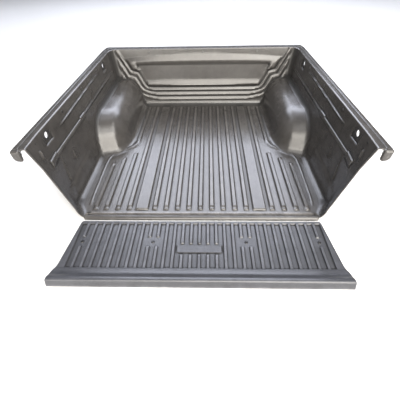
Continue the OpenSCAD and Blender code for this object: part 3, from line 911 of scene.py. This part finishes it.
GROMMET = [(0, 26.4), (0.4, 27), (1.2, 27), (1.8, 26.4), (2, 25.4), (2, 20), (1.7, 18.4),
           (1, 17.6), (-1, 17.5), (-4.5, 18), (-6.5, 19.6), (-6.5, 23.4), (-6, 24),
           (-5, 24), (-4.5, 23.4), (-4.5, 19.9), (0, 19.9), (0, 26.4)]


# -------- materials

def feed(tree, node, values):
    """Sets a node's inputs to numbers or colours, or links them to other nodes' outputs."""
    for key, v in values.items():
        socket = node.inputs[key]
        if not socket.enabled:
            socket = next(q for q in node.inputs if q.name == key and q.enabled)
        if isinstance(v, (int, float)):
            socket.default_value = v
        elif isinstance(v, tuple):
            socket.default_value = (*v, 1)
        else:
            tree.links.new(v, socket)


def add_node(tree, kind, values, **settings):
    """New shader node with its settings made and its inputs fed."""
    node = tree.nodes.new("ShaderNode" + kind)
    for key, v in settings.items():
        setattr(node, key, v)
    feed(tree, node, values)
    return node


def material(name):
    """New material, returned with its tree, its Principled shader and the object's coordinates."""
    mat = bpy.data.materials.new(name)
    mat.use_nodes = True
    tree = mat.node_tree
    tree.nodes.clear()
    shader = add_node(tree, "BsdfPrincipled", {})
    add_node(tree, "OutputMaterial", {"Surface": shader.outputs["BSDF"]})
    return mat, tree, shader, add_node(tree, "TexCoord", {}).outputs["Object"]


def noise(tree, where, scale, detail=3.0, rough=0.5):
    values = {"Vector": where, "Scale": scale, "Detail": detail, "Roughness": rough}
    return add_node(tree, "TexNoise", values).outputs["Fac"]


def cells(tree, where, scale, feature="SMOOTH_F1"):
    values = {"Vector": where, "Scale": scale}
    return add_node(tree, "TexVoronoi", values, feature=feature).outputs["Distance"]


def ramp(tree, value, stops):
    """Colour between two stops (place, (r, g, b)) along a value."""
    node = add_node(tree, "ValToRGB", {"Fac": value})
    for e, (place, colour) in zip(node.color_ramp.elements, stops):
        e.position = place
        e.color = (*colour, 1)
    return node.outputs["Color"]


def span(tree, value, low, high, new_low, new_high):
    """Value stretched from low..high to new_low..new_high, and held to that."""
    values = {"Value": value, "From Min": low, "From Max": high, "To Min": new_low, "To Max": new_high}
    return add_node(tree, "MapRange", values).outputs["Result"]


def mixed(tree, share, a, b):
    """Colour between a and b."""
    node = add_node(tree, "Mix", {"Factor": share, "A": a, "B": b}, data_type="RGBA")
    return next(q for q in node.outputs if q.enabled)


def maths(tree, operation, a, b):
    return add_node(tree, "Math", {0: a, 1: b}, operation=operation).outputs[0]


def bump(tree, shader, height, strength, distance, under=None):
    """Bump on the shader's normal, over the normal of an earlier bump if one is given."""
    values = {"Height": height, "Strength": strength, "Distance": distance}
    if under is not None:
        values["Normal"] = under
    normal = add_node(tree, "Bump", values).outputs["Normal"]
    feed(tree, shader, {"Normal": normal})
    return normal


def edges(tree, low, high):
    """0 on flat faces to 1 on outer edges, or in hollow corners if high is below low."""
    pointiness = add_node(tree, "NewGeometry", {}).outputs["Pointiness"]
    return span(tree, pointiness, low, high, 0.0, 1.0)


def scaled(colour, factor, lift=0.0):
    return tuple(min(1.0, c * factor + lift) for c in colour)


def formed_plastic(name, tint, grain, gloss):
    """Vacuum-formed polyethylene: pebble grain, flow marks, painted shade in the hollow creases (darker
    and rougher there) and convex edges painted paler, partly edge wear and partly a painted highlight.
    """
    mat, tree, shader, where = material(name)
    pebbles = cells(tree, where, grain)
    broad = noise(tree, where, 3.1, 2.0)
    fine = noise(tree, where, 900.0, 2.0)
    cloud = noise(tree, where, 16.0, 4.0, 0.6)
    mottle = noise(tree, where, 120.0, 3.0, 0.6)
    # Painted shade: hollow creases and rib feet are darkened to a fifth of the tint and made rough,
    # standing in for the shade and dark reflections there
    crease_shade = edges(tree, 0.496, 0.466)
    # Convex edges painted paler in patches: some edge wear, and a painted highlight where ridges catch
    # the light
    wear_and_highlight = maths(tree, "MULTIPLY", edges(tree, 0.52, 0.60), span(tree, cloud, 0.35, 0.65, 0.3, 0.9))
    base = ramp(tree, cloud, [(0.30, scaled(tint, 0.82)), (0.72, scaled(tint, 1.2))])
    # Painted shade in the hollow creases
    base = mixed(tree, crease_shade, base, scaled(tint, 0.2))
    # Painted highlight, with some wear, on the convex edges
    base = mixed(tree, wear_and_highlight, base, scaled(tint, 2.7, 0.018))
    rough = span(tree, broad, 0.3, 0.7, *gloss)
    rough = maths(tree, "ADD", rough, span(tree, fine, 0.3, 0.7, -0.03, 0.03))
    rough = maths(tree, "MAXIMUM", rough, maths(tree, "MULTIPLY", crease_shade, 0.95))
    feed(tree, shader, {"Base Color": base, "Roughness": rough, "IOR": 1.54})
    wave = bump(tree, shader, cloud, 0.10, 0.004)
    uneven = bump(tree, shader, mottle, 0.36, 0.0016, wave)
    bump(tree, shader, pebbles, 0.35, 0.0006, uneven)
    return mat


def rubber(name):
    """Matt black rubber with a fine speck."""
    mat, tree, shader, where = material(name)
    speck = noise(tree, where, 700.0, 3.0, 0.7)
    cloud = noise(tree, where, 60.0, 2.0)
    base = ramp(tree, cloud, [(0.3, (0.010, 0.010, 0.011)), (0.7, (0.022, 0.021, 0.021))])
    feed(tree, shader, {"Base Color": base, "Roughness": span(tree, speck, 0.3, 0.7, 0.5, 0.72)})
    bump(tree, shader, speck, 0.3, 0.0004)
    return mat


def plated(name, dark, pale, rough):
    """Metal with fine turning marks and edges worn bright."""
    mat, tree, shader, where = material(name)
    grain = noise(tree, where, 1400.0, 2.0)
    cloud = noise(tree, where, 120.0, 4.0, 0.6)
    base = ramp(tree, cloud, [(0.3, dark), (0.7, pale)])
    base = mixed(tree, edges(tree, 0.53, 0.62), base, scaled(pale, 2.2, 0.05))
    rough = span(tree, grain, 0.3, 0.7, rough - 0.07, rough + 0.1)
    feed(tree, shader, {"Base Color": base, "Roughness": rough, "Metallic": 1.0})
    bump(tree, shader, grain, 0.15, 0.0002)
    return mat


def foam(name):
    """Closed-cell foam: cut pores, and paler dusty patches."""
    mat, tree, shader, where = material(name)
    pores = cells(tree, where, 520.0, "F1")
    cloud = noise(tree, where, 35.0, 3.0)
    base = ramp(tree, pores, [(0.1, (0.035, 0.036, 0.040)), (0.6, (0.085, 0.086, 0.092))])
    base = mixed(tree, span(tree, cloud, 0.3, 0.7, 0.0, 0.35), base, (0.11, 0.105, 0.10))
    feed(tree, shader, {"Base Color": base, "Roughness": 0.93})
    bump(tree, shader, pores, 0.7, 0.0012)
    return mat


# -------- the pieces

def dress(obj, mat):
    """Gives a mesh its one material."""
    obj.data.materials.clear()
    obj.data.materials.append(mat)


def piece(obj, body, slot, mat, *nodes):
    """A finished piece: its material, its body and the CAD nodes that it stands for; slot is not used."""
    dress(obj, mat)
    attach(obj, body)
    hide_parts(*nodes)


LINER = formed_plastic("liner_grain", (0.046, 0.043, 0.041), 420.0, (0.17, 0.23))
# The tailgate liner's copy of the plastic is tinted bluer than the tub's: a painted reflection of the
# bluish sky above it
GATE = formed_plastic("gate_grain_sky_tint", (0.040, 0.041, 0.047), 330.0, (0.25, 0.32))
RUBBER = rubber("grommet_rubber")
BLACK_STEEL = plated("black_oxide", (0.035, 0.035, 0.037), (0.075, 0.074, 0.073), 0.34)
SPRING_STEEL = plated("spring_steel", (0.36, 0.36, 0.37), (0.55, 0.55, 0.54), 0.3)
FOAM = foam("closed_cell_foam")

tub = join("liner_tub", [make_tub(), rail_end(-1), rail_end(1)])
piece(crisp(tub, 55), "tub", "liner_plastic", LINER, "tub_liner")
piece(crisp(make_gate(), 55), "tailgate", "liner_plastic", GATE, "tailgate_liner")

for s, hand in ((-1, "left"), (1, "right")):
    for yc, end in zip(TIE_Y, ("rear", "front")):
        hole = [(np.array([s * POCKET_X, yc, TIE_Z]), (-s, 0, 0))]
        ring = turned(f"ring_{end}_{hand}", GROMMET, hole, 56)
        piece(crisp(ring, 50), "tub", "grommet_rubber", RUBBER, f"tie_down_grommet_{end}_{hand}")
STEEL_PIECES = []
for hand, places in RAIL_SCREWS.items():
    STEEL_PIECES += [(f"screw_heads_{hand}", PAN_HEAD, places, DRIVE, "tub", f"rail_screws_{hand}"),
                     (f"washer_rings_{hand}", WASHER, places, None, "tub", f"rail_washers_{hand}")]
STEEL_PIECES += [("gate_screw_heads", CONE_HEAD, GATE_SCREWS, DRIVE, "tailgate", "tailgate_screws"),
                 ("gate_cups", CUP, GATE_SCREWS, None, "tailgate", "tailgate_cup_washers")]
for name, profile, places, star, body, node_name in STEEL_PIECES:
    fitting = crisp(turned(name, profile, places, star=star), 40)
    piece(fitting, body, "black_steel", BLACK_STEEL, node_name)

# Foam from lowest to highest corner: tape under the flange, strips under the bands and the tailgate
TAPE_TOP, TAPE_LOW = RAIL_Z - SHEET, RAIL_Z - SHEET - 6
TAPE_IN, TAPE_OUT = TOP_X + 12, RAIL_X - SHEET - 6
TAPE_REAR, TAPE_FRONT = 20, FLOOR_Y + 20
FOAM_PIECES = [
    ("foam_rail_left", "tub", "rail_foam_left",
     [((-TAPE_OUT, TAPE_REAR, TAPE_LOW), (-TAPE_IN, TAPE_FRONT, TAPE_TOP))]),
    ("foam_rail_right", "tub", "rail_foam_right",
     [((TAPE_IN, TAPE_REAR, TAPE_LOW), (TAPE_OUT, TAPE_FRONT, TAPE_TOP))]),
    ("foam_rail_front", "tub", "rail_foam_front",
     [((40 - TOP_X, TOP_Y + 12, TAPE_LOW), (TOP_X - 40, RAIL_Y - SHEET - 6, TAPE_TOP))]),
    ("foam_floor", "tub", "floor_foam_strips",
     [((s * BAND_X - BAND_HALF + 10, RIB_REAR + 40, 1),
       (s * BAND_X + BAND_HALF - 10, RIB_FRONT - 80, RIB_H)) for s in (-1, 1)]),
    ("foam_gate", "tailgate", "tailgate_foam_strips",
     [((s * 430 - 170, -120, 0.5), (s * 430 + 170, -95, GATE_LAND - SHEET)) for s in (-1, 1)])]
for name, body, node_name, boxes in FOAM_PIECES:
    piece(foam_strips(name, boxes), body, "foam_tape", FOAM, node_name)

for node_name, node in frame["nodes"].items():
    if "spring_nuts" in node_name:
        dress(node, SPRING_STEEL)


# -------- floor, light and camera

def stage_floor():
    """Plain pale floor, just under the object."""
    mesh = bpy.data.meshes.new("stage_floor")
    corners = [(x, y, -0.001) for x, y in ((-14, -14), (14, -14), (14, 14), (-14, 14))]
    mesh.from_pydata(corners, [], [(0, 1, 2, 3)])
    obj = add_object("stage_floor", mesh)
    mat, tree, shader, _ = material("pale_floor")
    feed(tree, shader, {"Base Color": (0.62, 0.62, 0.62), "Roughness": 0.9, "Specular IOR Level": 0.1})
    dress(obj, mat)


def studio_walls():
    """Dim surroundings, darker towards the ground."""
    world = bpy.data.worlds.new("studio")
    world.use_nodes = True
    tree = world.node_tree
    ray = add_node(tree, "TexCoord", {}).outputs["Generated"]
    height = add_node(tree, "SeparateXYZ", {"Vector": ray}).outputs["Z"]
    height = span(tree, height, -0.05, 0.9, 0.0, 1.0)
    colour = ramp(tree, height, [(0.0, (0.07, 0.07, 0.08)), (1.0, (0.26, 0.28, 0.31))])
    feed(tree, tree.nodes["Background"], {"Color": colour})
    bpy.context.scene.world = world


def softbox(name, place, aim, wide, high, glow, colour):
    """Area light; glow is its brightness, the same for any size."""
    data = bpy.data.lights.new(name, "AREA")
    data.shape = "RECTANGLE"
    data.size, data.size_y = wide, high
    data.energy = glow * math.pi * wide * high
    data.color = colour
    obj = add_object(name, data)
    obj.location = place
    obj.rotation_euler = (Vector(aim) - Vector(place)).to_track_quat("-Z", "Y").to_euler()


def camera(place, yaw, pitch, roll, lens):
    """Camera that looks along +Y, turned left by yaw, down by pitch, and rolled (degrees)."""
    data = bpy.data.cameras.new("camera")
    data.sensor_width = 36.0
    data.lens = lens
    obj = add_object("camera", data)
    yaw, pitch, roll = (math.radians(a) for a in (yaw, pitch, roll))
    ahead = Vector((-math.sin(yaw) * math.cos(pitch), math.cos(yaw) * math.cos(pitch), -math.sin(pitch)))
    level = Vector((math.cos(yaw), math.sin(yaw), 0))
    above = level.cross(ahead)
    right = level * math.cos(roll) - above * math.sin(roll)
    up = above * math.cos(roll) + level * math.sin(roll)
    obj.matrix_world = Matrix([(*right, 0), (*up, 0), (*-ahead, 0), (*place, 1)]).transposed()
    bpy.context.scene.camera = obj


stage_floor()
studio_walls()
bpy.context.scene.view_settings.view_transform = "Standard"
# Name, place, aim, width, height, brightness and colour
softbox("sky_ahead", (0.1, 6.45, 5.95), (0.1, -0.05, 1.3), 8.6, 4.2, 7.3, (0.83, 0.87, 1.0))
softbox("overhead_ahead", (-0.8, 3.2, 6.6), (0, 0, 0), 5.2, 3.4, 1.6, (0.84, 0.87, 1.0))
softbox("overhead_behind", (2.4, -2.2, 6.7), (0, 0, 0), 5.4, 4.4, 6.0, (1.0, 0.98, 0.94))
softbox("low_behind_left", (-3.8, -6.8, 1.1), (-0.6, 0.2, 0.2), 4.0, 2.0, 8.0, (1.0, 0.97, 0.90))
softbox("low_behind_right", (3.8, -6.8, 1.1), (0.6, 0.2, 0.2), 4.0, 2.0, 5.0, (1.0, 0.97, 0.90))
softbox("key_behind", (1.5, -6.0, 4.3), (0, 0.4, 0.2), 8.4, 6.4, 9.4, (1.0, 0.95, 0.87))
camera((0.0417, -1.649, 1.179), 2.18, 44.52, 1.435, 24.03)


# -------- the end

bpy.context.view_layer.update()
